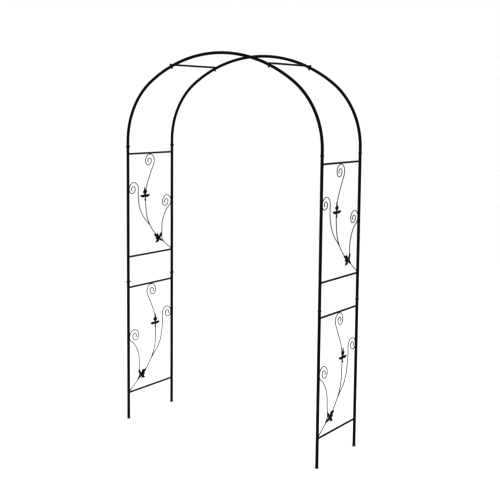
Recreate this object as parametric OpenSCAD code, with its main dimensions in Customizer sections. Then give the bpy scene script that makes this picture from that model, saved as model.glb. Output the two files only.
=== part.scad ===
// Metal trellis arch for a garden path.
// X runs across the path, Y along it (front is -Y), Z up.
// The origin is on the ground, midway between the four legs.

/* [Plan] */
// Distance across the path between leg centres
leg_spacing_x = 1345; // [1000:5:1650]
// Distance along the path between leg centres
leg_spacing_y = 400; // [300:5:520]

/* [Side panels] */
// Ground to the lower panel's bottom bar
foot_h = 160; // [100:5:260]
// Lower panel, bottom bar to top bar
lower_panel_h = 647; // [530:1:800]
// Lower panel's top bar to the seam above it
mid_seam_rise = 23; // [16:1:40]
// Middle seam to the upper panel's bottom bar
upper_panel_lift = 163; // [80:1:260]
// Upper panel, bottom bar to top bar
upper_panel_h = 618; // [520:1:800]
// Upper panel's top bar to the seam above it
top_seam_rise = 29; // [16:1:60]

/* [Hoops] */
// Straight length of a hoop above its seam
hoop_straight = 45; // [44:1:120]
// Bend radius of a hoop's two corners
corner_r = 430; // [250:5:560]
// Bend radius of a hoop's crown
crown_r = 850; // [660:5:1200]
// Slope of the hoop where a shoulder bar crosses it, in degrees
shoulder_slope = 23.4; // [10:0.2:60]

/* [Tube and wire] */
// Outside diameter of the uprights and hoops
tube_d = 16; // [13:0.5:22]
// Wall of the uprights and hoops
tube_wall = 1; // [0.8:0.1:1.6]
// Outside diameter of the crossbars and shoulder bars
bar_d = 10; // [7:0.5:12]
// Wall of the crossbars
bar_wall = 1; // [0.8:0.1:1.6]
// Diameter of the scroll wire
wire_d = 4; // [3:0.5:6]

/* [Push-fit joints] */
// Length of the reduced tube end that enters the tube above
spigot_len = 40; // [30:1:42]
// Bolt height above the seam
bolt_rise = 14; // [9:1:25]
// Radial play of the reduced end in the tube above
spigot_play = 0.2; // [0.1:0.05:0.4]

/* [Fasteners] */
// Thread diameter of the bolts
bolt_d = 6; // [4:0.5:8]
// Width across the flats of the bolt heads and nuts
hex_flats = 10; // [8:0.5:13]
// Height of a bolt head
head_h = 4; // [2.5:0.5:6]
// Height of a nut
nut_h = 5; // [3:0.5:7]
// Thread left standing past a nut
bolt_tail = 3; // [1:0.5:6]
// Radial play of a bolt in its hole
hole_play = 0.2; // [0.1:0.05:0.5]

/* [Foot caps] */
// Height of the cap below the tube end
cap_h = 6; // [4:0.5:10]
// Length of the plug inside the tube
plug_len = 18; // [10:1:30]
// Chamfer round the bottom of a cap
cap_chamfer = 1.5; // [0.5:0.1:2.5]

/* [Shoulder bars] */
// Thickness of a flattened end
tab_t = 3; // [2:0.5:5]
// Width of a flattened end
tab_w = 14; // [13:0.5:20]
// Length of a flattened end either side of its bolt
tab_reach = 12; // [8:1:20]

/* [Scrolls] */
// Radii of a scroll's half turns, outer one first
scroll_r = [40, 26, 16]; // [8:1:45]
// Radius of the short curl at a scroll's eye
eye_r = 9; // [7:1:14]
// Turn of that curl in degrees
eye_turn = 70; // [20:5:120]
// Centre of the top scroll, away from the root side
top_scroll_u = -6; // [-40:1:40]
// Height of the far scroll below the panel's top bar
far_scroll_drop = 213; // [120:1:300]
// Height of the near scroll below the panel's top bar
near_scroll_drop = 308; // [200:1:360]
// Gap closed by a weld where two pieces meet
weld_gap = 0.1; // [0.05:0.05:0.2]
// Rise of the faint bead where one bend runs into the next
bend_bead = 0.1; // [0.05:0.05:0.2]

/* [Leaves] */
// Thickness of the leaf plate
leaf_t = 1.5; // [1:0.1:3]
// Radius of the disc that joins a spray of leaves
leaf_hub_r = 7; // [5:0.5:10]
// Length of a large leaf
leaf_len = 52; // [35:1:60]
// Width of a large leaf
leaf_w = 22; // [14:1:30]

/* [Scroll wires below the scrolls] */
// Stem's first waypoint, back from and below the top scroll
stem_shoulder = [11, 32]; // [4:1:60]
// Direction of the stem there, in degrees
stem_shoulder_heading = -119; // [-125:1:-95]
// High leaves: distance from the panel's centreline, away from the root side
high_leaf_u = -45; // [-80:1:0]
// High leaves: depth below the panel's top bar
high_leaf_drop = 259; // [200:1:320]
// Fork where the far tendril leaves the stem: offset and height in the panel
fork = [-10, 180]; // [-60:1:260]
// Direction of the stem at the fork, in degrees
fork_heading = -58; // [-85:1:-40]
// Low leaves: offset and height in the panel
low_leaf = [83, 85]; // [20:1:120]
// Length of the far tendril's fall before it turns towards the fork
far_fall = 60; // [30:1:90]
// Length of the far tendril's last, slanting run into the fork
far_run_in = 57; // [30:1:80]
// Direction of that run, in degrees
far_run_heading = -45; // [-60:1:-30]
// Near tendril's first waypoint, back from and below its scroll
near_shoulder = [42, 50]; // [20:1:80]
// Direction of the near tendril there, in degrees
near_shoulder_heading = -132; // [-145:1:-110]
// Near tendril's second waypoint, back from and below its scroll
near_waist = [85, 162]; // [60:1:200]
// Distance along the stem from the low leaves to the near tendril's weld
near_join_run = 44; // [20:1:70]

/* [Hidden] */
$fn = 48;

SIDES = ["left", "right"];
ENDS = ["front", "back"];
LEVELS = ["lower", "upper"];
BAR_ENDS = ["bottom", "top"];

black = [0.07, 0.07, 0.075];
cap_black = [0.03, 0.03, 0.03];
zinc = [0.75, 0.76, 0.78];

tube_r = tube_d / 2;
bore_r = tube_r - tube_wall;
spigot_r = bore_r - spigot_play;
bar_r = bar_d / 2;
wire_r = wire_d / 2;
bolt_r = bolt_d / 2;
hole_r = bolt_r + hole_play;

// Heights above the ground
lower_bottom_z = foot_h;
lower_top_z = lower_bottom_z + lower_panel_h;
mid_seam_z = lower_top_z + mid_seam_rise;
upper_bottom_z = mid_seam_z + upper_panel_lift;
upper_top_z = upper_bottom_z + upper_panel_h;
top_seam_z = upper_top_z + top_seam_rise;
spring_z = top_seam_z + hoop_straight;

// A hoop's crown arc and its two corner arcs share a tangent where they meet.
half_x = leg_spacing_x / 2;
half_y = leg_spacing_y / 2;
corner_x = half_x - corner_r;
crown_z = spring_z - sqrt(pow(crown_r - corner_r, 2) - pow(corner_x, 2));
meet_slope = asin(corner_x / (crown_r - corner_r));

function side_x(s) = s == "left" ? -half_x : half_x;
function end_y(e) = e == "front" ? -half_y : half_y;
function bottom_z(v) = v == "lower" ? lower_bottom_z : upper_bottom_z;
function panel_h(v) = v == "lower" ? lower_panel_h : upper_panel_h;
function bar_z(v, b) = bottom_z(v) + (b == "top" ? panel_h(v) : 0);

// Point [x, z] of a hoop's centreline where its slope is the given angle
function hoop_point(slope) = slope <= meet_slope
  ? [crown_r * sin(slope), crown_z + crown_r * cos(slope)]
  : [corner_x + corner_r * sin(slope), spring_z + corner_r * cos(slope)];

// ---- Plane curves: a heading is an angle in degrees, a node is [point, heading] ----

function along(a) = [cos(a), sin(a)];
function cross2(p, q) = p[0] * q[1] - p[1] * q[0];

// Half the turn of the arc that leaves p at heading a and passes through q
function half_turn(p, a, q) = atan2(cross2(along(a), q - p), along(a) * (q - p));

// Where the two arcs meet that join node [p, a] to node [q, b] smoothly
function meeting_point(p, a, q, b) =
  let (v = q - p,
       t = v * (along(a) + along(b)),
       k = 2 * (1 - along(a) * along(b)),
       d = k > 0.00001 ? (sqrt(t * t + k * (v * v)) - t) / k : (v * v) / (4 * (v * along(b))))
  (p + q + d * (along(a) - along(b))) / 2;

// Round wire along one arc, from p at heading a to q
module wire_arc(p, a, q) {
  half = half_turn(p, a, q);
  if (abs(half) < 0.2) {
    chord = q - p;
    translate(p) rotate([0, 90, atan2(chord[1], chord[0])]) cylinder(r = wire_r, h = norm(chord));
  } else {
    side = sign(half);
    r = norm(q - p) / (2 * sin(abs(half)));
    centre = p + r * along(a + 90 * side);
    first = side > 0 ? a - 90 : a + 90 + 2 * half;
    translate(centre) rotate([0, 0, first]) rotate_extrude(angle = 2 * abs(half), $fn = 96)
      translate([r, 0]) circle(r = wire_r, $fn = 24);
  }
}

// Faint bead where two bends of a wire meet, its poles along the wire's heading
module wire_bead(p, a) {
  translate(p) rotate([0, 90, a]) rotate(45) sphere(r = wire_r + bend_bead, $fn = 24);
}

// Round wire through a list of nodes, two arcs between each pair, or one straight
module wire_run(nodes) {
  for (i = [0 : len(nodes) - 2]) {
    p = nodes[i][0];
    a = nodes[i][1];
    q = nodes[i + 1][0];
    m = meeting_point(p, a, q, nodes[i + 1][1]);
    b = a + 2 * half_turn(p, a, m);
    wire_bead(p, a);
    if (a == nodes[i + 1][1] && abs(half_turn(p, a, q)) < 0.2) {
      wire_arc(p, a, q);
    } else {
      wire_arc(p, a, m);
      wire_bead(m, b);
      wire_arc(m, b, q);
    }
  }
}

// Scroll wound inwards from its tail, which points up on its right
module scroll(tail) {
  for (i = [0 : len(scroll_r) - 1]) {
    side = i % 2 == 0 ? 1 : -1;
    from = tail - [2 * half_turn_sum(i), 0];
    to = from - [2 * side * scroll_r[i], 0];
    wire_arc(from, 90 * side, to);
    wire_bead(to, 90);
  }
  last = len(scroll_r);
  side = last % 2 == 0 ? 1 : -1;
  from = tail - [2 * half_turn_sum(last), 0];
  centre = from - [side * eye_r, 0];
  wire_arc(from, 90 * side, centre + eye_r * along((side > 0 ? 0 : 180) + eye_turn));
}

// Sum of the first n half-turn radii, each counted against the one before
function half_turn_sum(n) = n == 0 ? 0 : half_turn_sum(n - 1) + (n % 2 == 1 ? 1 : -1) * scroll_r[n - 1];

// ---- Scroll layout of a panel of height h ----
// u runs across the panel from its centreline towards the root corner,
// v up from the axis of the bottom bar.

inner_u = half_y - tube_r;
seat = wire_r + weld_gap;
lap = wire_d + weld_gap;

function top_tail(h) = [top_scroll_u + scroll_r[0], h - bar_r - seat - scroll_r[0]];
function far_tail(h) = [2 * scroll_r[0] + seat - inner_u, h - far_scroll_drop];
function near_tail(h) = [inner_u - seat, h - near_scroll_drop];

down = -90;
high_leaf_heading = -92;
far_fall_heading = -85;

// The stem runs straight from the low leaves, just clear of the corner where
// the bar meets the upright, and on into the upright, which cuts its end to shape.
to_corner = [inner_u, bar_r] - low_leaf;
root_heading = atan2(to_corner[1], to_corner[0]) + asin(seat / norm(to_corner));
root = low_leaf + (norm(to_corner) + 1.5 * wire_d) * along(root_heading);
far_weld = fork + lap * along(fork_heading - 90);
near_weld = low_leaf + near_join_run * along(root_heading) + lap * along(root_heading + 90);

function high_leaf(h) = [high_leaf_u, h - high_leaf_drop];

// Nodes that the stem passes: the high leaves, the fork, the low leaves and the root
function stem_nodes(h) = [
  [top_tail(h), down],
  [top_tail(h) - stem_shoulder, stem_shoulder_heading],
  [high_leaf(h), high_leaf_heading],
  [fork, fork_heading],
  [low_leaf, root_heading],
  [root, root_heading]
];

// Nodes of the far tendril, down to where it lies along the stem at the fork
function far_nodes(h) = [
  [far_tail(h), down],
  [far_tail(h) + far_fall * along(down), far_fall_heading],
  [far_weld - far_run_in * along(far_run_heading), far_run_heading],
  [far_weld, fork_heading]
];

// Nodes of the near tendril, down to where it lies along the stem by the root
function near_nodes(h) = [
  [near_tail(h), down],
  [near_tail(h) - near_shoulder, near_shoulder_heading],
  [near_tail(h) - near_waist, down],
  [near_weld, root_heading]
];

// Puts a shape drawn in (u, v) into the side panel, root corner at the back
// for the upper panels and at the front for the lower ones.
module in_panel(v, s) {
  translate([side_x(s), 0, bottom_z(v)])
    mirror([0, v == "lower" ? 1 : 0, 0])
      mirror([s == "left" ? 1 : 0, 0, 0])
        rotate([90, 0, 90]) children();
}

// Trims a wire's end to the upright that it is welded to
module clear_of_upright() {
  difference() {
    children();
    translate([half_y, bar_r, 0]) rotate([-90, 0, 0])
      cylinder(r = tube_r + weld_gap, h = 4 * tube_d, center = true);
  }
}

module stem(v, s) {
  color(black) in_panel(v, s) clear_of_upright() {
    scroll(top_tail(panel_h(v)));
    wire_run(stem_nodes(panel_h(v)));
  }
}

module far_tendril(v, s) {
  color(black) in_panel(v, s) {
    scroll(far_tail(panel_h(v)));
    wire_run(far_nodes(panel_h(v)));
  }
}

module near_tendril(v, s) {
  color(black) in_panel(v, s) {
    scroll(near_tail(panel_h(v)));
    wire_run(near_nodes(panel_h(v)));
  }
}

// ---- Leaves ----

// Side lobes: angle off the leaf, and start, length and width as shares of the leaf's own
lobe_angle = 42;
lobe_start = 0.2;
lobe_len = 0.5;
lobe_w = 0.6;

// [direction, size] of each leaf in the two sprays
high_spray = [[94, 1], [171, 0.84], [11, 0.8]];
low_spray = [[143, 0.95], [66, 0.75], [213, 0.82], [322, 0.55]];

// Pointed oval of the given length and width, from the origin along +X
module leaf_blade(l, w) {
  r = (l * l + w * w) / (4 * w);
  translate([l / 2, 0]) intersection() {
    translate([0, r - w / 2]) circle(r = r, $fn = 96);
    translate([0, w / 2 - r]) circle(r = r, $fn = 96);
  }
}

// One leaf: a long middle lobe and two short side lobes
module leaf(size) {
  l = size * leaf_len;
  w = size * leaf_w;
  leaf_blade(l, w);
  for (a = [-lobe_angle, lobe_angle])
    translate([lobe_start * l, 0]) rotate(a) leaf_blade(lobe_len * l, lobe_w * w);
}

// Flat spray of leaves, given as a list of [angle, size], on the face of the wire
module leaf_spray(at, leaves) {
  translate([at[0], at[1], wire_r + weld_gap]) linear_extrude(leaf_t) {
    circle(r = leaf_hub_r);
    for (l = leaves) rotate(l[0]) leaf(l[1]);
  }
}

module leaves_high(v, s) {
  color(black) in_panel(v, s)
    leaf_spray(high_leaf(panel_h(v)), high_spray);
}

module leaves_low(v, s) {
  color(black) in_panel(v, s)
    leaf_spray(low_leaf, low_spray);
}

// ---- Uprights and crossbars ----

// Tube standing on z = 0, with a reduced end of spigot_len above its length
module spigot_tube(length) {
  neck = 4 * tube_wall;
  difference() {
    union() {
      cylinder(r = tube_r, h = length);
      cylinder(r = spigot_r, h = length + spigot_len);
    }
    translate([0, 0, -1]) cylinder(r = bore_r, h = length - neck + 1);
    translate([0, 0, -1]) cylinder(r = spigot_r - tube_wall, h = length + spigot_len + 2);
  }
}

// Hole for a joint bolt through a tube at the given height
module bolt_hole(z) {
  translate([0, 0, z]) rotate([90, 0, 0]) cylinder(r = hole_r, h = 2 * tube_d, center = true);
}

module upright(v, s, e) {
  foot = v == "lower" ? cap_h : mid_seam_z;
  top = v == "lower" ? mid_seam_z : top_seam_z;
  color(black) translate([side_x(s), end_y(e), 0]) difference() {
    translate([0, 0, foot]) spigot_tube(top - foot);
    bolt_hole(top + bolt_rise);
    if (v == "upper") bolt_hole(foot + bolt_rise);
  }
}

module crossbar(v, s, b) {
  color(black) translate([side_x(s), 0, bar_z(v, b)]) difference() {
    rotate([90, 0, 0]) cylinder(r = bar_r, h = leg_spacing_y, center = true);
    rotate([90, 0, 0]) cylinder(r = bar_r - bar_wall, h = leg_spacing_y + 2, center = true);
    for (y = [-half_y, half_y])
      translate([0, y, 0]) cylinder(r = tube_r + weld_gap, h = 2 * bar_d, center = true);
  }
}

// ---- Hoops ----

// Solid bend in the hoop's plane: bend radius r, from one angle to another, about [x, z]
module hoop_bend(r, from, to, x, z, section_r) {
  translate([x, 0, z]) rotate([90, 0, 0]) rotate([0, 0, from])
    rotate_extrude(angle = to - from, $fn = 240) translate([r, 0]) circle(r = section_r);
}

// Solid bar of the given radius along a hoop's whole centreline
module hoop_path(section_r) {
  meet = hoop_point(meet_slope);
  hoop_bend(crown_r, 90 - meet_slope, 90 + meet_slope, 0, crown_z, section_r);
  hoop_bend(corner_r, 0, 90 - meet_slope, corner_x, spring_z, section_r);
  hoop_bend(corner_r, 90 + meet_slope, 180, -corner_x, spring_z, section_r);
  for (m = [-1, 1]) {
    translate([m * half_x, 0, top_seam_z]) cylinder(r = section_r, h = hoop_straight);
    translate([m * half_x, 0, spring_z]) sphere(r = section_r + bend_bead);
    translate([m * meet[0], 0, meet[1]]) sphere(r = section_r + bend_bead);
  }
}

module hoop(e) {
  shoulder = hoop_point(shoulder_slope);
  color(black) translate([0, end_y(e), 0]) difference() {
    hoop_path(tube_r);
    hoop_path(bore_r);
    for (x = [-half_x, half_x]) translate([x, 0, top_seam_z]) bolt_hole(bolt_rise);
    for (m = [-1, 1]) translate([m * shoulder[0], 0, shoulder[1]])
      rotate([0, m * shoulder_slope, 0]) cylinder(r = hole_r, h = 2 * tube_d, center = true);
  }
}

// ---- Shoulder bars ----

// Frame at a hoop's shoulder: Z leaves the hoop, Y stays along the path
module at_shoulder(s) {
  m = s == "left" ? -1 : 1;
  p = hoop_point(shoulder_slope);
  translate([m * p[0], 0, p[1]]) rotate([0, m * shoulder_slope, 0]) children();
}

module shoulder_bar(s) {
  neck = half_y - tab_reach;
  color(black) at_shoulder(s) translate([0, 0, tube_r + tab_t / 2]) difference() {
    union() {
      rotate([90, 0, 0]) cylinder(r = bar_r, h = 2 * (neck - bar_r), center = true);
      for (m = [-1, 1]) {
        translate([0, m * (neck - bar_r), 0]) sphere(r = bar_r);
        translate([-tab_w / 2, m > 0 ? neck - bar_d : -half_y, -tab_t / 2])
          cube([tab_w, half_y - neck + bar_d, tab_t]);
        translate([0, m * half_y, 0]) cylinder(r = tab_w / 2, h = tab_t, center = true);
      }
    }
    for (y = [-half_y, half_y])
      translate([0, y, 0]) cylinder(r = hole_r, h = 2 * tab_t, center = true);
  }
}

// ---- Foot caps ----

module foot_cap(s, e) {
  color(cap_black) translate([side_x(s), end_y(e), 0]) {
    rotate_extrude() polygon([
      [0, 0], [tube_r - cap_chamfer, 0], [tube_r, cap_chamfer], [tube_r, cap_h], [0, cap_h]
    ]);
    translate([0, 0, cap_h]) cylinder(r = bore_r - weld_gap, h = plug_len);
  }
}

// ---- Fasteners ----

// Bolt along +Z with its head's underside on z = 0, holding a stack of grip
module bolt(grip) {
  translate([0, 0, -head_h]) cylinder(d = hex_flats / cos(30), h = head_h, $fn = 6);
  cylinder(r = bolt_r, h = grip + nut_h + bolt_tail);
}

// Nut on z = 0, its thread just clear of the bolt
module nut() {
  difference() {
    cylinder(d = hex_flats / cos(30), h = nut_h, $fn = 6);
    translate([0, 0, -1]) cylinder(r = bolt_r + weld_gap / 2, h = nut_h + 2);
  }
}

// Places children at every tube joint, +Z pointing along the path to the back
module at_joints() {
  for (x = [-half_x, half_x]) for (y = [-half_y, half_y]) for (z = [mid_seam_z, top_seam_z])
    translate([x, y, z + bolt_rise]) rotate([-90, 0, 0]) children();
}

// Places children at every shoulder bolt, +Z pointing into the hoop
module at_shoulder_bolts() {
  for (s = SIDES) at_shoulder(s) for (y = [-half_y, half_y])
    translate([0, y, 0]) rotate([180, 0, 0]) children();
}

module joint_bolts() {
  color(zinc) at_joints() translate([0, 0, -tube_r]) bolt(tube_d);
}

module joint_nuts() {
  color(zinc) at_joints() translate([0, 0, tube_r]) nut();
}

module shoulder_bolts() {
  color(zinc) at_shoulder_bolts() translate([0, 0, -tube_r - tab_t]) bolt(tube_d + tab_t);
}

module shoulder_nuts() {
  color(zinc) at_shoulder_bolts() translate([0, 0, tube_r]) nut();
}

for (v = LEVELS) for (s = SIDES) {
  for (e = ENDS) upright(v, s, e);
  for (b = BAR_ENDS) crossbar(v, s, b);
  stem(v, s);
  far_tendril(v, s);
  near_tendril(v, s);
  leaves_high(v, s);
  leaves_low(v, s);
}
for (e = ENDS) hoop(e);
for (s = SIDES) shoulder_bar(s);
for (s = SIDES) for (e = ENDS) foot_cap(s, e);
joint_bolts();
joint_nuts();
shoulder_bolts();
shoulder_nuts();
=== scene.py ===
import math

import bpy
from mathutils import Matrix, Vector, noise


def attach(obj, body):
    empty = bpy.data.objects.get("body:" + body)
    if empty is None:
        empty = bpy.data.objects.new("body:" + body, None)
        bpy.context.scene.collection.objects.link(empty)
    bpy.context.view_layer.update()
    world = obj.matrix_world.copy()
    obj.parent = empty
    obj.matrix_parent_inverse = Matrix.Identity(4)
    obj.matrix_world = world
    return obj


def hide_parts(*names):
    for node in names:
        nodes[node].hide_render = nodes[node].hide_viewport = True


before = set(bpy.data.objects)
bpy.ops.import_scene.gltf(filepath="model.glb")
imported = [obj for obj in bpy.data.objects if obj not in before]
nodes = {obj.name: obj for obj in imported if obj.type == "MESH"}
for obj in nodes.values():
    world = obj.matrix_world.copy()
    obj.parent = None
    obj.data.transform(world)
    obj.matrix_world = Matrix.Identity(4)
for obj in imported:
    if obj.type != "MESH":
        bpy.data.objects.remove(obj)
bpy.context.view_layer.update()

# ---------------------------------------------------------------------------
# Sizes, in millimetres, as in the CAD model
# ---------------------------------------------------------------------------

# Half the distances between the legs' axes, and the radii of the tubes, crossbars and wires
HALF_X = 672.5
HALF_Y = 200.0
TUBE_R = 8.0
BAR_R = 5.0
WIRE_R = 2.0
# Between welded pieces
GAP = 0.1
PANEL_BOTTOM = {"lower": 160.0, "upper": 993.0}
PANEL_HEIGHT = {"lower": 647.0, "upper": 618.0}

# Tube joints: their seams, and how far above them their bolts are
SEAM_Z = (830.0, 1640.0)
BOLT_RISE = 14.0

# Hoops
CORNER_R = 430.0
CROWN_R = 850.0
SPRING_Z = 1685.0

# Shoulder bars: where they sit on the hoops, and their flat tabs
SHOULDER_SLOPE = math.radians(23.4)
TAB_T = 3.0
TAB_W = 14.0
TAB_REACH = 12.0

# Bolts, nuts and foot caps
BOLT_R = 3.0
HEX_FLATS = 10.0
HEAD_H = 4.0
NUT_H = 5.0
BOLT_TAIL = 3.0
CAP_H = 6.0

# Wires of a panel: u runs towards the root's corner, v up from the bottom bar, and drops run down
# from the top bar. Headings are in degrees from +u.
TOP_SCROLL_U = -6.0
FAR_SCROLL_DROP = 213.0
NEAR_SCROLL_DROP = 308.0
HIGH_LEAF_U = -45.0
HIGH_LEAF_DROP = 259.0
FORK = (-10.0, 180.0)
FORK_HEADING = -58.0
LOW_LEAF = (83.0, 85.0)
NEAR_JOIN_RUN = 44.0

INNER_U = HALF_Y - TUBE_R
SEAT = WIRE_R + GAP
LAP = 2 * WIRE_R + GAP
TO_CORNER = (INNER_U - LOW_LEAF[0], BAR_R - LOW_LEAF[1])
ROOT_RUN = math.hypot(*TO_CORNER)
ROOT_HEADING = math.degrees(math.atan2(TO_CORNER[1], TO_CORNER[0]) + math.asin(SEAT / ROOT_RUN))

LEVELS = ("lower", "upper")
SIDES = ("left", "right")
ENDS = ("front", "back")

# From millimetres to the metres of the shared frame
MM = Matrix.Diagonal((0.001, 0.001, 0.001, 1))


def side_sign(side):
    return -1 if side == "left" else 1


def panel_matrix(level, side):
    """Takes (u, v, w) in mm to the shared frame: u towards the root's corner, v up, w outward."""
    out = side_sign(side)
    root = -1 if level == "lower" else 1
    m = Matrix((
        (0, 0, out, out * HALF_X),
        (root, 0, 0, 0),
        (0, 1, 0, PANEL_BOTTOM[level]),
        (0, 0, 0, 1),
    ))
    return MM @ m


def along(degrees):
    """The unit vector on a heading in a panel's plane."""
    a = math.radians(degrees)
    return Vector((math.cos(a), math.sin(a)))


# ---------------------------------------------------------------------------
# Mesh helpers: a shape is (vertices, faces), in millimetres until it is placed
# ---------------------------------------------------------------------------


def merged(shapes):
    """Several shapes as one."""
    verts, faces = [], []
    for v, f in shapes:
        base = len(verts)
        verts.extend(v)
        faces.extend([tuple(i + base for i in face) for face in f])
    return verts, faces


def moved(shape, matrix):
    """A shape under a matrix, turned right side out again when the matrix mirrors it."""
    verts = [matrix @ Vector(v) for v in shape[0]]
    faces = shape[1]
    if matrix.to_3x3().determinant() < 0:
        faces = [tuple(reversed(f)) for f in faces]
    return verts, faces


def piece(name, shape, material, replaces=(), sharp=None):
    """A piece of the object, riding on the one body of this bolted frame."""
    mesh = bpy.data.meshes.new(name)
    mesh.from_pydata([tuple(v) for v in shape[0]], [], shape[1])
    mesh.validate()
    mesh.materials.append(material)
    mesh.shade_smooth()
    if sharp is not None:
        mesh.set_sharp_from_angle(angle=math.radians(sharp))
    obj = bpy.data.objects.new(name, mesh)
    bpy.context.scene.collection.objects.link(obj)
    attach(obj, "root")
    if replaces:
        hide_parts(*replaces)
    return obj


def grid_shape(rows, close_rows=False, close_columns=False):
    """Quads over a grid of points given as a list of rows."""
    n, m = len(rows), len(rows[0])
    verts = [p for row in rows for p in row]
    faces = []
    for i in range(n if close_rows else n - 1):
        for j in range(m if close_columns else m - 1):
            a, b = i * m + j, i * m + (j + 1) % m
            c, d = ((i + 1) % n) * m + (j + 1) % m, ((i + 1) % n) * m + j
            faces.append((a, b, c, d))
    return verts, faces


def angles_round(steps):
    return [2 * math.pi * j / steps for j in range(steps)]


def capped(rows):
    """A tube over rings about Z, closed at each end by a fan of triangles."""
    steps = len(rows[0])
    verts, faces = grid_shape(rows, close_columns=True)
    for index, flip in ((0, True), (len(rows) - 1, False)):
        centre = len(verts)
        verts.append((0, 0, rows[index][0][2]))
        for j in range(steps):
            a, b = index * steps + j, index * steps + (j + 1) % steps
            faces.append((centre, b, a) if flip else (centre, a, b))
    return verts, faces


def plugged(rows):
    """A tube over rings that run clockwise about its way, closed at each end by one face."""
    verts, faces = grid_shape(rows, close_columns=True)
    steps = len(rows[0])
    faces.append(tuple(range(steps)))
    faces.append(tuple(reversed(range((len(rows) - 1) * steps, len(rows) * steps))))
    return verts, [tuple(reversed(f)) for f in faces]


def lathe(profile, steps):
    """Turns (r, z) points about Z."""
    return capped([[(r * math.cos(a), r * math.sin(a), z) for a in angles_round(steps)]
                   for r, z in profile])


def blob(centre, radii, turn, seed, lump=0.16, rings=14, steps=20):
    """A lumpy bead: an ellipsoid that coarse and fine noise push in and out by about the share lump."""
    rows = []
    rot = Matrix.Rotation(math.radians(turn), 3, "Z")
    for i in range(1, rings):
        a = math.pi * i / rings
        row = []
        for b in angles_round(steps):
            d = Vector((math.sin(a) * math.cos(b), math.sin(a) * math.sin(b), math.cos(a)))
            k = 1 + lump * noise.noise(d * 1.7 + Vector((seed * 3.1, seed * 1.7, 0)))
            k += 0.5 * lump * noise.noise(d * 4.3 + Vector((0, seed * 2.3, seed)))
            p = rot @ Vector((d.x * radii[0] * k, d.y * radii[1] * k, d.z * radii[2] * k))
            row.append(tuple(p + Vector(centre)))
        rows.append(row)
    verts, faces = grid_shape(rows, close_columns=True)
    for index, z, flip in ((0, radii[2], False), (len(rows) - 1, -radii[2], True)):
        ring = [index * steps + j for j in range(steps)]
        top = len(verts)
        verts.append((centre[0], centre[1], centre[2] + z))
        for j in range(steps):
            a, b = ring[j], ring[(j + 1) % steps]
            faces.append((top, b, a) if flip else (top, a, b))
    return verts, [tuple(reversed(f)) for f in faces]


# ---------------------------------------------------------------------------
# Materials
# ---------------------------------------------------------------------------


def new_material(name):
    """A material with a principled shader, and the piece's own coordinates, in metres."""
    mat = bpy.data.materials.new(name)
    mat.use_nodes = True
    tree = mat.node_tree
    tree.nodes.clear()
    out = tree.nodes.new("ShaderNodeOutputMaterial")
    shader = tree.nodes.new("ShaderNodeBsdfPrincipled")
    tree.links.new(shader.outputs["BSDF"], out.inputs["Surface"])
    coords = tree.nodes.new("ShaderNodeTexCoord")
    return mat, tree, shader, coords.outputs["Object"]


def noise_tex(tree, coords, scale, detail=4.0, rough=0.55):
    n = tree.nodes.new("ShaderNodeTexNoise")
    n.inputs["Scale"].default_value = scale
    n.inputs["Detail"].default_value = detail
    n.inputs["Roughness"].default_value = rough
    tree.links.new(coords, n.inputs["Vector"])
    return n.outputs["Fac"]


def remap(tree, value, low, high, to_low, to_high):
    n = tree.nodes.new("ShaderNodeMapRange")
    n.inputs["From Min"].default_value = low
    n.inputs["From Max"].default_value = high
    n.inputs["To Min"].default_value = to_low
    n.inputs["To Max"].default_value = to_high
    tree.links.new(value, n.inputs["Value"])
    return n.outputs["Result"]


def spread(tree, value, to_low, to_high):
    """Takes the range that a noise texture mostly fills to another."""
    return remap(tree, value, 0.3, 0.7, to_low, to_high)


def maths(tree, operation, a, b):
    """A maths node on sockets or numbers; products and maxima are held between 0 and 1."""
    n = tree.nodes.new("ShaderNodeMath")
    n.operation = operation
    n.use_clamp = operation in ("MULTIPLY", "MAXIMUM")
    for i, x in enumerate((a, b)):
        if isinstance(x, (int, float)):
            n.inputs[i].default_value = x
        else:
            tree.links.new(x, n.inputs[i])
    return n.outputs["Value"]


def mix_colour(tree, factor, a, b):
    """From colour a to colour b, each a socket or a tuple."""
    n = tree.nodes.new("ShaderNodeMix")
    n.data_type = "RGBA"
    tree.links.new(factor, n.inputs["Factor"])
    for key, x in (("A", a), ("B", b)):
        socket = [s for s in n.inputs if s.name == key and s.type == "RGBA"][0]
        if isinstance(x, tuple):
            socket.default_value = (*x, 1)
        else:
            tree.links.new(x, socket)
    return [s for s in n.outputs if s.type == "RGBA"][0]


def bump(tree, height, strength, distance, normal=None):
    n = tree.nodes.new("ShaderNodeBump")
    n.inputs["Strength"].default_value = strength
    n.inputs["Distance"].default_value = distance
    tree.links.new(height, n.inputs["Height"])
    if normal is not None:
        tree.links.new(normal, n.inputs["Normal"])
    return n.outputs["Normal"]


def upward(tree):
    """How far the surface faces up, from 0 to 1."""
    geometry = tree.nodes.new("ShaderNodeNewGeometry")
    split = tree.nodes.new("ShaderNodeSeparateXYZ")
    tree.links.new(geometry.outputs["Normal"], split.inputs["Vector"])
    return remap(tree, split.outputs["Z"], 0.35, 1.0, 0.0, 1.0)


def edges(tree, low, high, most=1.0):
    """From 0 to most with the mesh's pointiness: on edges, or in hollows when low is above high."""
    geometry = tree.nodes.new("ShaderNodeNewGeometry")
    return remap(tree, geometry.outputs["Pointiness"], low, high, 0.0, most)


# The coats are semi-matt: their pebbled skin mirrors far less at grazing angles than smooth plastic
COAT_IOR = 1.22

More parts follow.
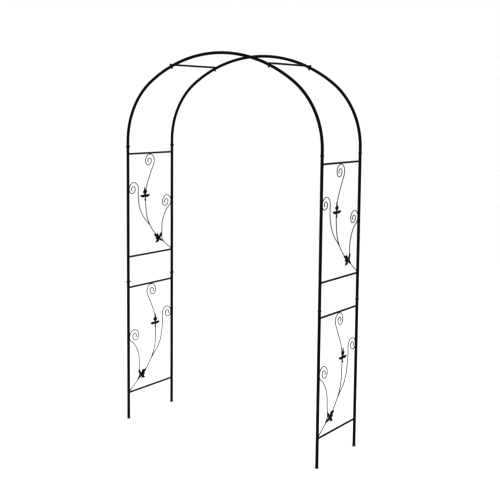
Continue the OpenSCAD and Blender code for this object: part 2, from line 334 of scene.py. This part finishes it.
# Linear colours; where there are two, noise runs between the first and the second
DUST = (0.022, 0.021, 0.0195)
THIN_COAT = (0.03, 0.03, 0.031)
THIN_LEAF_COAT = (0.035, 0.035, 0.036)
ZINC_TONES = ((0.022, 0.022, 0.024), (0.05, 0.05, 0.053))
# Painted highlight: the brighter zinc colour given to edges
ZINC_EDGE_HIGHLIGHT = (0.16, 0.16, 0.165)
# Painted shade: the darker zinc colour given to hollows
ZINC_HOLLOW_SHADE = (0.012, 0.012, 0.012)
PLASTIC_TONES = ((0.003, 0.003, 0.003), (0.006, 0.006, 0.006))
PLASTIC_SCUFF = (0.035, 0.033, 0.03)
WELD_TONES = ((0.003, 0.003, 0.0032), (0.008, 0.008, 0.0085))
PAPER_TONES = ((0.88, 0.88, 0.88), (0.9, 0.9, 0.9))

# Heights of the bumps that make the relief, in metres
PEBBLE_RELIEF = 0.0004
GRAIN_RELIEF = 0.0001


def powder_coat(name, base, thin, roughness, peel, wear):
    """Baked powder coat: a pebbled film, thin and paler on edges, with a little dust on top.

    base and thin are its colours, peel is the strength of the pebbling, and wear is the range of
    pointiness over which it thins.
    """
    mat, tree, shader, coords = new_material(name)
    broad = noise_tex(tree, coords, 9.0, 3.0)
    fine = noise_tex(tree, coords, 260.0, 3.0)
    tone = mix_colour(tree, spread(tree, broad, 0.0, 1.0), base, tuple(1.5 * c for c in base))
    dust = maths(tree, "MULTIPLY", upward(tree), remap(tree, fine, 0.45, 0.7, 0.0, 0.3))
    tone = mix_colour(tree, dust, tone, DUST)
    scuffs = noise_tex(tree, coords, 70.0, 6.0, 0.7)
    worn = maths(tree, "MULTIPLY", edges(tree, *wear), remap(tree, scuffs, 0.5, 0.62, 0.15, 1.0))
    tone = mix_colour(tree, worn, tone, thin)
    tree.links.new(tone, shader.inputs["Base Color"])
    gloss = maths(tree, "ADD", spread(tree, broad, roughness - 0.05, roughness + 0.05),
                  spread(tree, fine, -0.03, 0.05))
    gloss = maths(tree, "ADD", gloss, maths(tree, "MULTIPLY", dust, 0.3))
    tree.links.new(gloss, shader.inputs["Roughness"])
    shader.inputs["IOR"].default_value = COAT_IOR
    pebble = noise_tex(tree, coords, 620.0, 2.0, 0.5)
    grain = noise_tex(tree, coords, 2600.0, 1.0, 0.5)
    normal = bump(tree, pebble, peel, PEBBLE_RELIEF)
    normal = bump(tree, grain, peel * 0.5, GRAIN_RELIEF, normal)
    tree.links.new(normal, shader.inputs["Normal"])
    return mat


def zinc_plate(name):
    """Black-passivated zinc: dark metal, clouded, with a painted highlight on its edges and painted
    shade in its hollows, which are also rougher.
    """
    mat, tree, shader, coords = new_material(name)
    cloud = noise_tex(tree, coords, 160.0, 4.0, 0.6)
    tone = mix_colour(tree, spread(tree, cloud, 0.0, 1.0), *ZINC_TONES)
    # Painted highlight: edges take a brighter colour
    tone = mix_colour(tree, edges(tree, 0.52, 0.6), tone, ZINC_EDGE_HIGHLIGHT)
    # Painted shade: hollows take a darker colour, and are also rougher
    hollow = edges(tree, 0.49, 0.42, 0.8)
    tone = mix_colour(tree, hollow, tone, ZINC_HOLLOW_SHADE)
    tree.links.new(tone, shader.inputs["Base Color"])
    shader.inputs["Metallic"].default_value = 1.0
    gloss = maths(tree, "ADD", spread(tree, cloud, 0.24, 0.38), maths(tree, "MULTIPLY", hollow, 0.3))
    tree.links.new(gloss, shader.inputs["Roughness"])
    marks = noise_tex(tree, coords, 2400.0, 2.0, 0.6)
    tree.links.new(bump(tree, marks, 0.18, GRAIN_RELIEF), shader.inputs["Normal"])
    return mat


def moulded_plastic(name):
    """Black polythene: spark-eroded grain, scuffed paler where it meets the ground."""
    mat, tree, shader, coords = new_material(name)
    cloud = noise_tex(tree, coords, 140.0, 5.0, 0.65)
    split = tree.nodes.new("ShaderNodeSeparateXYZ")
    tree.links.new(coords, split.inputs["Vector"])
    low = remap(tree, split.outputs["Z"], 0.0035, 0.0, 0.0, 0.7)
    scuff = maths(tree, "MULTIPLY", low, remap(tree, cloud, 0.42, 0.62, 0.0, 1.0))
    tone = mix_colour(tree, spread(tree, cloud, 0.0, 1.0), *PLASTIC_TONES)
    tone = mix_colour(tree, scuff, tone, PLASTIC_SCUFF)
    tree.links.new(tone, shader.inputs["Base Color"])
    gloss = maths(tree, "ADD", spread(tree, cloud, 0.5, 0.62), maths(tree, "MULTIPLY", scuff, 0.25))
    tree.links.new(gloss, shader.inputs["Roughness"])
    shader.inputs["IOR"].default_value = COAT_IOR
    grain = noise_tex(tree, coords, 3200.0, 2.0, 0.5)
    tree.links.new(bump(tree, grain, 0.35, GRAIN_RELIEF), shader.inputs["Normal"])
    return mat


def weld_metal(name):
    """Weld bead under the powder coat: rippled, and a shade glossier where the film pools."""
    mat, tree, shader, coords = new_material(name)
    cloud = noise_tex(tree, coords, 300.0, 4.0, 0.6)
    tone = mix_colour(tree, spread(tree, cloud, 0.0, 1.0), *WELD_TONES)
    tree.links.new(tone, shader.inputs["Base Color"])
    tree.links.new(spread(tree, cloud, 0.36, 0.52), shader.inputs["Roughness"])
    shader.inputs["IOR"].default_value = COAT_IOR
    ripple = noise_tex(tree, coords, 1100.0, 3.0, 0.6)
    tree.links.new(bump(tree, ripple, 0.5, PEBBLE_RELIEF), shader.inputs["Normal"])
    return mat


TUBE_COAT = powder_coat("tube_coat", base=(0.0028, 0.0028, 0.0031), thin=THIN_COAT,
                        roughness=0.46, peel=0.16, wear=(0.53, 0.62))
BAR_COAT = powder_coat("bar_coat", base=(0.003, 0.003, 0.0033), thin=THIN_COAT,
                       roughness=0.48, peel=0.18, wear=(0.53, 0.62))
WIRE_COAT = powder_coat("wire_coat", base=(0.0032, 0.0032, 0.0034), thin=THIN_COAT,
                        roughness=0.45, peel=0.2, wear=(0.56, 0.7))
LEAF_COAT = powder_coat("leaf_coat", base=(0.003, 0.003, 0.0032), thin=THIN_LEAF_COAT,
                        roughness=0.48, peel=0.3, wear=(0.52, 0.6))
CAP = moulded_plastic("cap_plastic")
ZINC = zinc_plate("zinc")
WELD = weld_metal("weld_coat")

# What the CAD nodes are coated with, by how their names start; the rest are fasteners
COATS = (
    (("upright", "hoop"), TUBE_COAT),
    (("crossbar", "shoulder_bar"), BAR_COAT),
    (("stem", "far_tendril", "near_tendril"), WIRE_COAT),
    (("leaves",), LEAF_COAT),
    (("foot_cap",), CAP),
)

for name, obj in nodes.items():
    coat = next((finish for starts, finish in COATS if name.startswith(starts)), ZINC)
    if len(obj.material_slots) == 0:
        obj.data.materials.append(coat)
    for slot in obj.material_slots:
        slot.material = coat

# ---------------------------------------------------------------------------
# Leaves: pressed steel, toothed, veined and cupped, on a short stalk
# ---------------------------------------------------------------------------


# Side lobes: angle to the midrib, start, length and width as shares of the leaf's, and bend
LOBE_ANGLE = 42.0
LOBE_START = 0.2
LOBE_LEN = 0.48
LOBE_W = 0.66
LOBE_BEND = 16

# Teeth: shares of a tooth's length that rise and fall, and of the leaf's width at its foot and in it
TOOTH_RISE, TOOTH_FALL = 0.84, 0.16
TOOTH_FOOT, TOOTH_DEPTH = 0.68, 0.32
TOOTH_SWEEP = 2.4

# Relief, in mm: the rib along the middle, the side veins, and a slow warp. A vein's width is a
# share of the distance between two.
LEAF_T = 1.2
LOBE_T = 1.1
LOBE_STEP = 0.05
RIB_H, RIB_W = 0.55, 0.75
VEIN_H, VEIN_W = 0.32, 0.11
WARP, WARP_SCALE = 0.35, 0.09

# Points along a tooth, and across half a leaf
LEAF_ROWS = 11
LEAF_COLUMNS = 9


def leaf_outline(t, teeth):
    """Half width of a leaf at t along its midrib, as a share of its greatest."""
    envelope = math.sin(math.pi * min(1.0, t) ** 0.72) ** 0.85 if 0 < t < 1 else 0.0
    f = (t * teeth) % 1.0
    tooth = f / TOOTH_RISE if f < TOOTH_RISE else (1 - f) / TOOTH_FALL
    return envelope * (TOOTH_FOOT + TOOTH_DEPTH * tooth)


def leaf(length, width, heading, bend, cup, curl, seed, teeth=5, thickness=LEAF_T, base_w=SEAT):
    """One leaf from the origin in (u, v, w), w up from the wire's face.

    Its midrib bends in its plane by bend degrees, its sides rise by cup and its tip by curl.
    """
    n, m = teeth * LEAF_ROWS, LEAF_COLUMNS
    step = length / n
    spine, a = Vector((0, 0)), heading - bend / 2
    spines = []
    for i in range(n + 1):
        spines.append((spine.copy(), a))
        spine = spine + step * along(a)
        a += bend / n
    rows = []
    for i in range(n + 1):
        t = i / n
        p, a = spines[i]
        outline = leaf_outline(t, teeth)
        half = max(0.5 * width * outline, 1.5 * (1 - t) ** 2 + 0.15)
        row_top, row_bottom = [], []
        for j in range(-m, m + 1):
            s = j / m
            forward = TOOTH_SWEEP * abs(s) ** 2 * outline * (width / 24)
            across = along(a + 90)
            q = p + across * (s * half) + along(a) * forward
            rib = RIB_H * math.exp(-((s * half) / RIB_W) ** 2) * (1 - 0.6 * t)
            vein_at = (t * teeth - 0.55 * abs(s) * half / (0.5 * width) - 0.25) % 1.0
            vein = VEIN_H * math.exp(-((vein_at - 0.5) / VEIN_W) ** 2) * (1 - abs(s) ** 3)
            w = base_w + cup * (s * half / (0.5 * width)) ** 2 + curl * t ** 2
            w += WARP * noise.noise(Vector((q.x * WARP_SCALE, q.y * WARP_SCALE, seed * 5.0)))
            row_top.append((q.x, q.y, w + thickness + rib + vein))
            row_bottom.append((q.x, q.y, w + 0.5 * rib))
        rows.append(row_top + list(reversed(row_bottom)))
    verts, faces = grid_shape(rows, close_columns=True)
    count = len(rows[0])
    faces.append(tuple(reversed(range(count))))
    faces.append(tuple(range(n * count, (n + 1) * count)))
    return verts, faces


def stalk(points, radii, steps=12):
    """A round stalk through points in (u, v, w), with a radius at each."""
    rows = []
    for i, (p, r) in enumerate(zip(points, radii)):
        p = Vector(p)
        before = Vector(points[max(0, i - 1)])
        after = Vector(points[min(len(points) - 1, i + 1)])
        d = (after - before).normalized()
        x = d.cross(Vector((0, 0, 1))).normalized()
        y = x.cross(d).normalized()
        rows.append([tuple(p + r * (math.cos(b) * x + math.sin(b) * y)) for b in angles_round(steps)])
    return plugged(rows)


def lobed_leaf(length, width, heading, bend, cup, curl, seed):
    """A leaf with a lobe on either side, drawn as three toothed blades that grow from one midrib."""
    shapes = [leaf(length, width, heading, bend, cup, curl, seed)]
    start = along(heading - 0.3 * bend) * (LOBE_START * length)
    for k, side in enumerate((1, -1)):
        lobe = leaf(LOBE_LEN * length, LOBE_W * width, heading + side * LOBE_ANGLE,
                    -side * LOBE_BEND, 0.7 * cup, 0.8 * curl, seed + 7 + k, teeth=3,
                    thickness=LOBE_T, base_w=SEAT + LOBE_STEP)
        shapes.append(moved(lobe, Matrix.Translation((start.x, start.y, 0.0))))
    return merged(shapes)


# A spray's hub and the bud on its stalk: radii in (u, v, w), and the stalk's radii along its length
HUB = (6.2, 5.6, 2.6)
BUD = (5.6, 3.6, 2.2)
STALK_RADII = (2.2, 1.9, 1.7, 1.6, 1.6, 1.7, 2.0, 2.6, 2.2)
STALK_W = 3.4


def spray(leaves, seed, bud=None):
    """A spray of leaves about its hub at the origin of (u, v, w), with a bud on a stalk if given."""
    shapes = [blob((0, 0, WIRE_R + 1.4), HUB, 20, seed, 0.22)]
    for i, (heading, length, width, bend, cup, curl, lobed) in enumerate(leaves):
        draw = lobed_leaf if lobed else leaf
        shapes.append(draw(length, width, heading, bend, cup, curl, seed + i))
    if bud is not None:
        heading, length = bud
        d, side = along(heading), along(heading + 90)
        path = [(0, 0, STALK_W)]
        for k in range(1, len(STALK_RADII)):
            arch = math.sin(math.pi * k / 8)
            q = d * (length * k / 8) + side * (1.3 * arch)
            path.append((q.x, q.y, STALK_W + 0.4 * arch))
        shapes.append(stalk(path, STALK_RADII))
        end = d * length
        shapes.append(blob((end.x, end.y, STALK_W + 0.2), BUD, heading + 70, seed + 9, 0.3))
    return merged(shapes)


# Heading, length, width, bend, cup and curl of each leaf, and whether it has side lobes
HIGH_LEAVES = (
    (94, 55, 20, -6, 1.8, 1.2, True),
    (176, 46, 19, -34, 1.6, 1.6, False),
    (6, 45, 19, 36, 1.6, 1.4, False),
)
LOW_LEAVES = (
    (150, 56, 23, 10, 1.7, 1.4, True),
    (56, 43, 20, 14, 1.6, 1.6, False),
    (218, 43, 20, -14, 1.6, 1.2, True),
    (322, 33, 15, 16, 1.2, 1.0, False),
)
# Heading and length of the stalk below the high leaves
HIGH_BUD = (267, 27)

for level in LEVELS:
    for side in SIDES:
        height = PANEL_HEIGHT[level]
        place = panel_matrix(level, side)
        seed = 1 + LEVELS.index(level) * 20 + SIDES.index(side) * 40
        for which, leaves, at, bud in (
            ("high", HIGH_LEAVES, (HIGH_LEAF_U, height - HIGH_LEAF_DROP), HIGH_BUD),
            ("low", LOW_LEAVES, LOW_LEAF, None),
        ):
            shape = spray(leaves, seed, bud)
            shape = moved(shape, place @ Matrix.Translation((at[0], at[1], 0)))
            piece(f"leaf_spray_{which}_{level}_{side}", shape, LEAF_COAT,
                  [f"leaves_{which}_{level}_{side}"], sharp=50)

# ---------------------------------------------------------------------------
# Welds: where the scrolls and wires touch, and round the ends of the bars
# ---------------------------------------------------------------------------


# A fillet's points round the bar and across its section, its mean size, and how deep it is bedded
FILLET_STEPS = 56
FILLET_SECTION = 9
FILLET_SIZE = 1.5
FILLET_BED = 0.25


def tube_face(across):
    """u of the upright's face, at a distance across its axis."""
    return HALF_Y - math.sqrt(TUBE_R ** 2 - across ** 2)


def bar_end_weld(seed):
    """A fillet round the end of a crossbar, on the upright at +u; the bar's axis is u, at v = 0."""
    rows = []
    angles = angles_round(FILLET_STEPS)
    for a in angles:
        across, up = BAR_R * math.cos(a), BAR_R * math.sin(a)
        out = Vector((0, math.sin(a), math.cos(a)))
        foot = Vector((tube_face(across), up, across))
        size = FILLET_SIZE + 0.35 * noise.noise(Vector((math.cos(a) * 2, math.sin(a) * 2, seed * 3.7)))
        size += 0.12 * math.sin(a * 17 + seed)
        swell = 0.85 * size
        row = []
        for j in range(FILLET_SECTION):
            b = math.pi * (j / (FILLET_SECTION - 1))
            inward = size * (0.15 + 0.95 * 0.5 * (1 + math.cos(b)))
            outward = swell * (0.9 * math.sin(b) * 0.75 + 0.5 * (1 - math.cos(b)) * 0.75) - FILLET_BED
            row.append(tuple(foot + Vector((-1, 0, 0)) * inward + out * outward))
        rows.append(row)
    verts, faces = grid_shape(rows, close_rows=True)
    base = len(verts)
    for a in angles:
        across, up = (BAR_R - 0.8) * math.cos(a), (BAR_R - 0.8) * math.sin(a)
        verts.append((tube_face(across) + 0.2, up, across))
    for i in range(FILLET_STEPS):
        k = (i + 1) % FILLET_STEPS
        first, last = i * FILLET_SECTION, (i + 1) * FILLET_SECTION - 1
        first_k, last_k = k * FILLET_SECTION, (k + 1) * FILLET_SECTION - 1
        faces.append((first, base + i, base + k, first_k))
        faces.append((last, last_k, base + k, base + i))
    return verts, faces


def wire_welds(height):
    """Beads on the wires of one panel, in (u, v, w)."""
    root = Vector(LOW_LEAF) + along(ROOT_HEADING) * (ROOT_RUN - 1.0)
    spots = [
        ((TOP_SCROLL_U, height - BAR_R - 0.9, 0.0), (6.0, 1.5, 2.1), 0),
        ((-INNER_U + 0.9, height - FAR_SCROLL_DROP, 0.0), (1.5, 6.0, 2.1), 0),
        ((INNER_U - 0.9, height - NEAR_SCROLL_DROP, 0.0), (1.5, 6.0, 2.1), 0),
        ((root.x, root.y, 0.0), (3.6, 2.6, 2.6), ROOT_HEADING),
    ]
    fork_side = along(FORK_HEADING - 90)
    for k, r in ((1.5, 3.6), (9.0, 3.0)):
        p = Vector(FORK) + fork_side * (LAP / 2) - along(FORK_HEADING) * k
        spots.append(((p.x, p.y, 0.0), (r, 1.9, 2.3), FORK_HEADING))
    near = Vector(LOW_LEAF) + along(ROOT_HEADING) * NEAR_JOIN_RUN
    near = near + along(ROOT_HEADING + 90) * (LAP / 2)
    for k, r in ((1.0, 3.6), (8.0, 3.0)):
        p = near - along(ROOT_HEADING) * k
        spots.append(((p.x, p.y, 0.0), (r, 1.9, 2.3), ROOT_HEADING))
    return merged([blob(c, r, turn, i + 3) for i, (c, r, turn) in enumerate(spots)])


for level in LEVELS:
    for side in SIDES:
        place = panel_matrix(level, side)
        height = PANEL_HEIGHT[level]
        seed = 3 * LEVELS.index(level) + 5 * SIDES.index(side)
        piece(f"wire_welds_{level}_{side}", moved(wire_welds(height), place), WELD)
        ends = []
        for k, v in enumerate((0.0, height)):
            for sign in (1, -1):
                at_end = Matrix.Translation((0, v, 0)) @ Matrix.Diagonal((sign, 1, 1, 1))
                ends.append(moved(bar_end_weld(seed + k * 2 + sign), at_end))
        piece(f"bar_welds_{level}_{side}", moved(merged(ends), place), WELD)

# ---------------------------------------------------------------------------
# Bolts and nuts
# ---------------------------------------------------------------------------


HEX_STEPS = 120
# The circle that the turned face leaves, and where the turned chamfer starts
HEX_FACE_R = 0.475 * HEX_FLATS
HEX_CHAMFER_R = 1.01 * HEX_FLATS / 2
HEX_CHAMFER_SLOPE = math.tan(math.radians(30))

THREAD_PITCH = 1.0
THREAD_DEPTH = 0.36
THREAD_STEPS = 40
# The bolt's end chamfer: its depth, and how fast it fades
END_CHAMFER = 0.8
END_CHAMFER_SLOPE = 1.4


def hex_radius(a):
    k = (a + math.pi / 6) % (math.pi / 3) - math.pi / 6
    return HEX_FLATS / 2 / math.cos(k)


def hex_drop(a):
    """How far the turned chamfer falls below the face at an angle."""
    return max(0.0, hex_radius(a) - HEX_CHAMFER_R) * HEX_CHAMFER_SLOPE


def hex_block(height, bore=0.0):
    """A hexagon on z = 0 whose upper corners are turned off at 30 degrees, or both when it is bored."""
    angles = angles_round(HEX_STEPS)

    def circle(r, z):
        return [(r * math.cos(a), r * math.sin(a), z) for a in angles]

    def hexagon(inset, z, fall=0):
        return [((hex_radius(a) - inset) * math.cos(a), (hex_radius(a) - inset) * math.sin(a),
                 z + fall * hex_drop(a)) for a in angles]

    rows = []
    if bore:
        rows += [circle(bore, 0.5), circle(bore + 0.4, 0.0)]
    rows.append(circle(HEX_FACE_R, 0.0))
    if bore:
        rows += [circle(HEX_FACE_R + 0.05, 0.02), hexagon(0.06, 0.05, 1), hexagon(0, 0.12, 1)]
    else:
        rows += [hexagon(0.08, 0.0), hexagon(0, 0.08)]
    rows += [hexagon(0, height - 0.12, -1), hexagon(0.06, height - 0.05, -1),
             circle(HEX_FACE_R + 0.05, height - 0.02), circle(HEX_FACE_R, height)]
    if bore:
        rows += [circle(bore + 0.4, height), circle(bore, height - 0.5)]
        return grid_shape(rows, close_rows=True, close_columns=True)
    rows.append(circle(0.12 * HEX_FLATS, height - 0.12))
    return capped(rows)


def thread(z0, z1):
    """A helical thread from z0 to z1, run out at its end with a chamfer."""
    rows = []
    count = int((z1 - z0) / THREAD_PITCH * 10)
    for i in range(count + 1):
        z = z0 + (z1 - z0) * i / count
        row = []
        for a in angles_round(THREAD_STEPS):
            f = ((z / THREAD_PITCH) - a / (2 * math.pi)) % 1.0
            ridge = 1 - abs(2 * f - 1)
            r = BOLT_R - THREAD_DEPTH * (1 - min(1.0, 1.25 * ridge))
            r = min(r, BOLT_R - END_CHAMFER + (z1 - z) * END_CHAMFER_SLOPE)
            row.append((r * math.cos(a), r * math.sin(a), z))
        rows.append(row)
    return capped(rows)


def bolt_shape(grip):
    """Bolt with its head's underside on z = 0 and its shank towards +z, for a nut beyond its grip."""
    head = moved(hex_block(HEAD_H), Matrix.Diagonal((1, 1, -1, 1)))
    thread_from = grip + NUT_H * 0.5
    shank = lathe([(BOLT_R - 0.02, 0.0), (BOLT_R - 0.02, thread_from)], 40)
    return merged([head, shank, thread(thread_from, grip + NUT_H + BOLT_TAIL)])


def nut_shape():
    return hex_block(NUT_H, BOLT_R + 0.03)


def hoop_point(slope):
    """x and z on the axis of a hoop's crown, where it slopes by an angle."""
    crown_z = SPRING_Z - math.sqrt((CROWN_R - CORNER_R) ** 2 - (HALF_X - CORNER_R) ** 2)
    return CROWN_R * math.sin(slope), crown_z + CROWN_R * math.cos(slope)


# How far each fastener was turned when it was tightened, in degrees
JOINT_SPINS = (17, -41, 63, 8, -23, 35, 50, -12)
SHOULDER_SPINS = (12, 44, -28, 70)


def joint_places():
    """Each tube joint's bolt: +Z of the place runs to the back, its origin on the tube's axis."""
    for i, x in enumerate((-HALF_X, HALF_X)):
        for j, y in enumerate((-HALF_Y, HALF_Y)):
            for k, z in enumerate(SEAM_Z):
                spin = math.radians(JOINT_SPINS[4 * i + 2 * j + k])
                yield (Matrix.Translation((x, y, z + BOLT_RISE))
                       @ Matrix.Rotation(-math.pi / 2, 4, "X") @ Matrix.Rotation(spin, 4, "Z"))


def shoulder_places():
    """Each shoulder bolt: +Z of the place runs into the hoop, its origin on the hoop's axis."""
    x, z = hoop_point(SHOULDER_SLOPE)
    for i, side in enumerate(SIDES):
        m = side_sign(side)
        for j, y in enumerate((-HALF_Y, HALF_Y)):
            spin = math.radians(SHOULDER_SPINS[2 * i + j])
            yield (Matrix.Translation((m * x, y, z)) @ Matrix.Rotation(m * SHOULDER_SLOPE, 4, "Y")
                   @ Matrix.Rotation(math.pi, 4, "X") @ Matrix.Rotation(spin, 4, "Z"))


def placed(places, shape, offset):
    """The shape at every place, shifted along the place's own Z."""
    return merged([moved(shape, MM @ p @ Matrix.Translation((0, 0, offset))) for p in places])


for name, places, shape, offset in (
    ("joint_bolt", joint_places, bolt_shape(2 * TUBE_R), -TUBE_R),
    ("joint_nut", joint_places, nut_shape(), TUBE_R),
    ("shoulder_bolt", shoulder_places, bolt_shape(2 * TUBE_R + TAB_T), -TUBE_R - TAB_T),
    ("shoulder_nut", shoulder_places, nut_shape(), TUBE_R),
):
    piece(f"{name}_set", placed(places(), shape, offset), ZINC, [f"{name}s"], sharp=28)

# ---------------------------------------------------------------------------
# Shoulder bars: round in the middle, pressed flat at the ends
# ---------------------------------------------------------------------------


BAR_STEPS = 40
# Where the round bar has rings, and where it is drawn out flat, before its tab
ROUND_STATIONS = [0.0, 40.0, 80.0, 120.0, 140.0]
FLAT_FROM, FLAT_TO = HALF_Y - TAB_REACH - 20, HALF_Y - TAB_REACH + 2


def shoulder_bar_shape():
    """A bar along Y: round, then drawn out into a flat tab with a round end about its bolt."""
    half_w, half_t = TAB_W / 2, TAB_T / 2
    stations = ROUND_STATIONS + [FLAT_FROM + (FLAT_TO - FLAT_FROM) * k / 18 for k in range(19)]
    stations += [HALF_Y - 4, HALF_Y]
    stations += [HALF_Y + half_w * math.sin(math.pi / 2 * k / 14) for k in range(1, 15)]
    half = sorted(set(stations))
    rows = []
    for y in [-s for s in reversed(half[1:])] + half:
        d = abs(y)
        k = min(1.0, max(0.0, (d - FLAT_FROM) / (FLAT_TO - FLAT_FROM)))
        k = k * k * (3 - 2 * k)
        a = BAR_R + (half_w - BAR_R) * k
        b = BAR_R + (half_t - BAR_R) * k
        if d > HALF_Y:
            a = max(0.05, math.sqrt(max(0.0, half_w ** 2 - (d - HALF_Y) ** 2)))
        # A round section has the exponent 1; it falls as the section squares up
        squareness = 2 / (2 + 5 * k)
        row = []
        for t in angles_round(BAR_STEPS):
            c, s = math.cos(t), math.sin(t)
            row.append((a * math.copysign(abs(c) ** squareness, c), y,
                        b * math.copysign(abs(s) ** squareness, s)))
        rows.append(row)
    return plugged(rows)


for side in SIDES:
    m = side_sign(side)
    x, z = hoop_point(SHOULDER_SLOPE)
    place = (MM @ Matrix.Translation((m * x, 0, z)) @ Matrix.Rotation(m * SHOULDER_SLOPE, 4, "Y")
             @ Matrix.Translation((0, 0, TUBE_R + TAB_T / 2)))
    piece(f"shoulder_rail_{side}", moved(shoulder_bar_shape(), place), BAR_COAT,
          [f"shoulder_bar_{side}"], sharp=60)

# ---------------------------------------------------------------------------
# Foot caps: moulded, with a rounded sole and a thin lip against the tube
# ---------------------------------------------------------------------------


# The flat of the sole, and the round that joins it to the side
SOLE_R = 5.6
SOLE_ROUND = 2.4


def cap_shape():
    """A cap about Z: a dished sole on z = 0, and a lip that thins towards the tube."""
    profile = [(0.0, 0.35), (2.5, 0.32), (4.4, 0.0), (SOLE_R, 0.0)]
    for k in range(1, 9):
        a = math.pi / 2 * k / 8
        profile.append((SOLE_R + SOLE_ROUND * math.sin(a), SOLE_ROUND - SOLE_ROUND * math.cos(a)))
    profile += [(TUBE_R, CAP_H - 0.5), (TUBE_R - 0.08, CAP_H - 0.2), (TUBE_R - 0.3, CAP_H - 0.02),
                (TUBE_R - 1.2, CAP_H)]
    return lathe(profile, 72)


for side in SIDES:
    for end in ENDS:
        y = -HALF_Y if end == "front" else HALF_Y
        place = MM @ Matrix.Translation((side_sign(side) * HALF_X, y, 0))
        piece(f"foot_{side}_{end}", moved(cap_shape(), place), CAP,
              [f"foot_cap_{side}_{end}"], sharp=70)

# ---------------------------------------------------------------------------
# Floor, light and camera
# ---------------------------------------------------------------------------


# The floor, in metres: half its width, its flat part, the cove behind it, and the top of its wall
FLOOR_HALF_W = 24.0
FLOOR_NEAR, FLOOR_FAR = -14.0, 9.0
COVE_R = 5.0
WALL_TOP = 14.0
FLOOR_TURN = math.radians(34)
FLOOR_Z = -0.0004

# Name, place, target, size and power
LIGHTS = (
    ("key", (-2.6, -4.2, 4.6), (0, 0, 1.0), (2.0, 2.0), 60),
    ("fill", (4.6, -1.2, 2.6), (0, 0, 1.1), (0.5, 2.8), 35),
    ("rim", (1.8, 4.0, 3.6), (0, 0, 1.2), (1.8, 1.8), 25),
)
WORLD_STRENGTH = 1.17
# The photograph has more contrast than the plain view: its darks sit close to black
VIEW_GAMMA = 0.62

# The camera, fitted to the legs, bars and hoops of the photograph
CAMERA_AT = Vector((3.1545, -4.294, 1.9145))
CAMERA_LOOKS = Vector((-0.55651, 0.825, -0.09833)).normalized()
CAMERA_ROLL = math.radians(0.723)
CAMERA_LENS = 67.249
CAMERA_SHIFT = (-0.0528, -0.1066)


def studio_floor():
    """A pale floor that curves up far behind the arch."""
    profile = [(FLOOR_NEAR, 0.0), (FLOOR_FAR, 0.0)]
    for k in range(1, 17):
        a = math.pi / 2 * k / 16
        profile.append((FLOOR_FAR + COVE_R * math.sin(a), COVE_R - COVE_R * math.cos(a)))
    profile.append((FLOOR_FAR + COVE_R, WALL_TOP))
    mesh = bpy.data.meshes.new("studio_floor")
    verts, faces = grid_shape([[(x, d, z) for x in (-FLOOR_HALF_W, FLOOR_HALF_W)] for d, z in profile])
    mesh.from_pydata(verts, [], [tuple(reversed(f)) for f in faces])
    mesh.shade_smooth()
    mat, tree, shader, coords = new_material("floor_paper")
    paper = noise_tex(tree, coords, 3.0, 2.0)
    tone = mix_colour(tree, spread(tree, paper, 0.0, 1.0), *PAPER_TONES)
    tree.links.new(tone, shader.inputs["Base Color"])
    shader.inputs["Roughness"].default_value = 0.95
    shader.inputs["Specular IOR Level"].default_value = 0.1
    mesh.materials.append(mat)
    obj = bpy.data.objects.new("studio_floor", mesh)
    obj.rotation_euler = (0, 0, FLOOR_TURN)
    obj.location = (0, 0, FLOOR_Z)
    bpy.context.scene.collection.objects.link(obj)


def area_light(name, place, target, size, power):
    light = bpy.data.lights.new(name, "AREA")
    light.shape = "RECTANGLE"
    light.size, light.size_y = size
    light.energy = power
    obj = bpy.data.objects.new(name, light)
    obj.location = place
    obj.rotation_mode = "QUATERNION"
    obj.rotation_quaternion = (Vector(target) - Vector(place)).to_track_quat("-Z", "Y")
    bpy.context.scene.collection.objects.link(obj)


def photo_camera():
    """The camera object, rolled about its own view."""
    right = CAMERA_LOOKS.cross(Vector((0, 0, 1))).normalized()
    up = right.cross(CAMERA_LOOKS)
    right = right * math.cos(CAMERA_ROLL) + up * math.sin(CAMERA_ROLL)
    up = right.cross(CAMERA_LOOKS)
    data = bpy.data.cameras.new("camera")
    data.sensor_width = 36
    data.lens = CAMERA_LENS
    data.shift_x, data.shift_y = CAMERA_SHIFT
    obj = bpy.data.objects.new("camera", data)
    obj.matrix_world = Matrix((
        (right.x, up.x, -CAMERA_LOOKS.x, CAMERA_AT.x),
        (right.y, up.y, -CAMERA_LOOKS.y, CAMERA_AT.y),
        (right.z, up.z, -CAMERA_LOOKS.z, CAMERA_AT.z),
        (0, 0, 0, 1),
    ))
    bpy.context.scene.collection.objects.link(obj)
    return obj


studio_floor()
for row in LIGHTS:
    area_light(*row)

world = bpy.data.worlds.new("studio")
world.use_nodes = True
background = world.node_tree.nodes["Background"]
background.inputs["Color"].default_value = (1, 1, 1, 1)
background.inputs["Strength"].default_value = WORLD_STRENGTH

scene = bpy.context.scene
scene.world = world
scene.view_settings.view_transform = "Standard"
scene.view_settings.look = "None"
scene.view_settings.gamma = VIEW_GAMMA
scene.camera = photo_camera()
